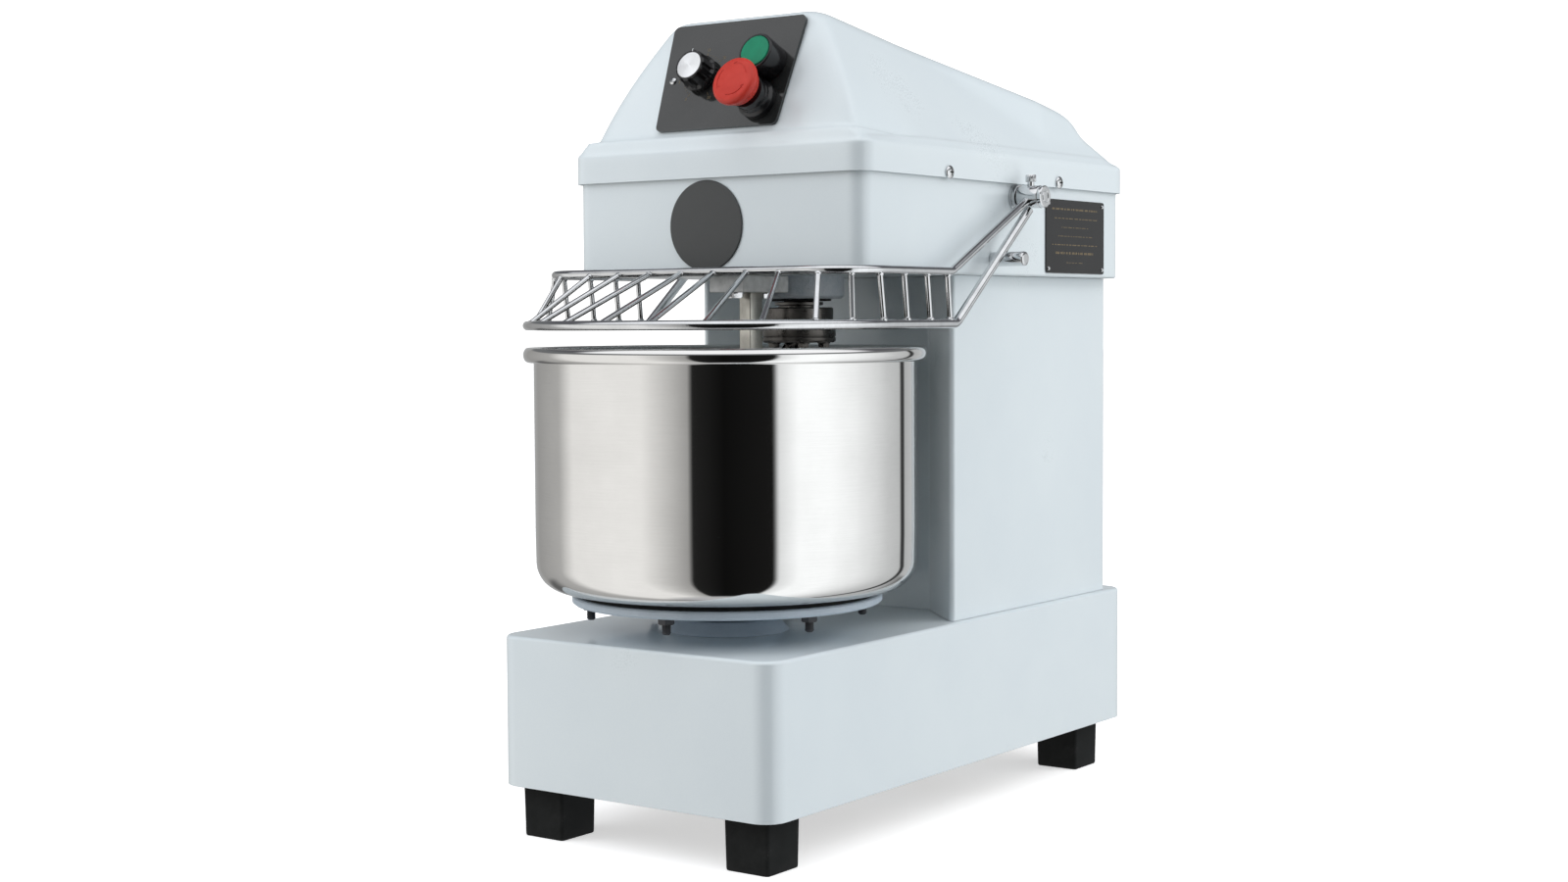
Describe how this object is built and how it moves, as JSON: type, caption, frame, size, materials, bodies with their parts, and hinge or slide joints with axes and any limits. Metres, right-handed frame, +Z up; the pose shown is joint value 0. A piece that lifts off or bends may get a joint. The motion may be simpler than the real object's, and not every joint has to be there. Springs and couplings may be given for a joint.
{
  "type": "spiral dough mixer",
  "caption": "Tabletop spiral dough mixer: turning steel bowl, spiral hook, fixed breaker bar, swing-up wire guard and sloping control panel.",
  "frame": {"origin": "middle of the footprint, on the floor", "axes": "+Z up, +Y from the bowl towards the column at the rear, +X to the right of someone facing the control panel"},
  "size_m": [0.4132, 0.7189, 0.7785],
  "materials": {
    "enamel": "semi-gloss powder coat",
    "rubber": "matte moulded rubber",
    "black_plastic": "glossy moulded plastic",
    "charcoal_gloss": "glossy printed plate",
    "badge_grey": "satin plate",
    "green_plastic": "satin moulded plastic",
    "red_plastic": "satin moulded plastic",
    "chrome": "bright plated",
    "stainless": "polished stainless steel",
    "dark_steel": "dark machined steel",
    "ground_steel": "ground steel",
    "casting": "painted casting",
    "cast_iron": "as cast",
    "motor_paint": "satin paint"
  },
  "bodies": {
    "frame": {"base_housing": "enamel", "base_frame": "dark_steel", "foot_front_left": "rubber", "foot_front_right": "rubber", "foot_rear_left": "rubber", "foot_rear_right": "rubber", "cord_gland": "black_plastic", "column_housing": "enamel", "column_rear_cover": "enamel", "head_housing": "enamel", "top_cover": "enamel", "control_panel": "charcoal_gloss", "timer_switch": "black_plastic", "start_switch": "black_plastic", "stop_switch": "black_plastic", "badge_disc": "badge_grey", "rating_plate": "charcoal_gloss", "cover_screw_front_left": "chrome", "cover_screw_front_right": "chrome", "cover_screw_rear_left": "chrome", "cover_screw_rear_right": "chrome", "guard_pivot_left": "dark_steel", "guard_pivot_right": "dark_steel", "guard_rest_left": "chrome", "guard_rest_right": "chrome", "breaker_bar": "ground_steel", "spindle_housing": "casting", "spindle_bearing_low": "ground_steel", "spindle_bearing_high": "ground_steel", "spindle_seal": "rubber", "bowl_hub": "casting", "bowl_bearing_low": "ground_steel", "bowl_bearing_high": "ground_steel", "layshaft_bearing_low": "cast_iron", "layshaft_bearing_high": "cast_iron", "motor_body": "motor_paint", "motor_bracket": "dark_steel", "v_belt": "rubber", "upper_chain": "dark_steel", "lower_chain": "dark_steel", "contactor": "black_plastic", "supply_wiring": "rubber"},
    "bowl_set": {"bowl": "stainless", "bowl_pad": "rubber", "turntable": "casting", "bowl_shaft": "dark_steel"},
    "hook_set": {"spindle": "dark_steel", "spiral_hook": "dark_steel"},
    "layshaft_set": {"layshaft": "dark_steel", "layshaft_pulley": "cast_iron"},
    "rotor_set": {"motor_rotor": "ground_steel"},
    "guard_set": {"guard": "chrome", "guard_set_screw_left": "chrome", "guard_set_screw_right": "chrome"},
    "timer_knob_set": {"timer_knob": "black_plastic"},
    "start_button_set": {"start_button": "green_plastic"},
    "stop_button_set": {"stop_button": "red_plastic"}
  },
  "joints": [
    {"name": "bowl_spin", "type": "hinge", "parent": "frame", "child": "bowl_set", "pos_m": [0, -0.168, 0.2335], "axis": [0, 0, 1], "continuous": true},
    {"name": "hook_spin", "type": "hinge", "parent": "frame", "child": "hook_set", "pos_m": [0, -0.0476, 0.5], "axis": [0, 0, 1], "continuous": true},
    {"name": "layshaft_spin", "type": "hinge", "parent": "frame", "child": "layshaft_set", "pos_m": [0, 0.0924, 0.64], "axis": [0, 0, 1], "continuous": true},
    {"name": "motor_spin", "type": "hinge", "parent": "frame", "child": "rotor_set", "pos_m": [0, 0.2424, 0.64], "axis": [0, 0, 1], "continuous": true},
    {"name": "guard_swing", "type": "hinge", "parent": "frame", "child": "guard_set", "pos_m": [0, 0.0864, 0.6075], "axis": [-1, 0, 0], "range_deg": [0, 78]},
    {"name": "timer_turn", "type": "hinge", "parent": "frame", "child": "timer_knob_set", "pos_m": [-0.029, -0.16032, 0.71872], "axis": [0, 0.9272, -0.3746], "range_deg": [0, 300]},
    {"name": "start_press", "type": "slide", "parent": "frame", "child": "start_button_set", "axis": [0, 0.9272, -0.3746], "range_m": [0, 0.004], "stiffness_N_per_m": 600, "springref_m": -0.003},
    {"name": "stop_press", "type": "slide", "parent": "frame", "child": "stop_button_set", "axis": [0, 0.9272, -0.3746], "range_m": [0, 0.005]}
  ],
  "couplings": [
    {"joint": "layshaft_spin", "follows": "bowl_spin", "ratio": 6.375},
    {"joint": "hook_spin", "follows": "bowl_spin", "ratio": 4.7812},
    {"joint": "motor_spin", "follows": "bowl_spin", "ratio": 25.745}
  ]
}
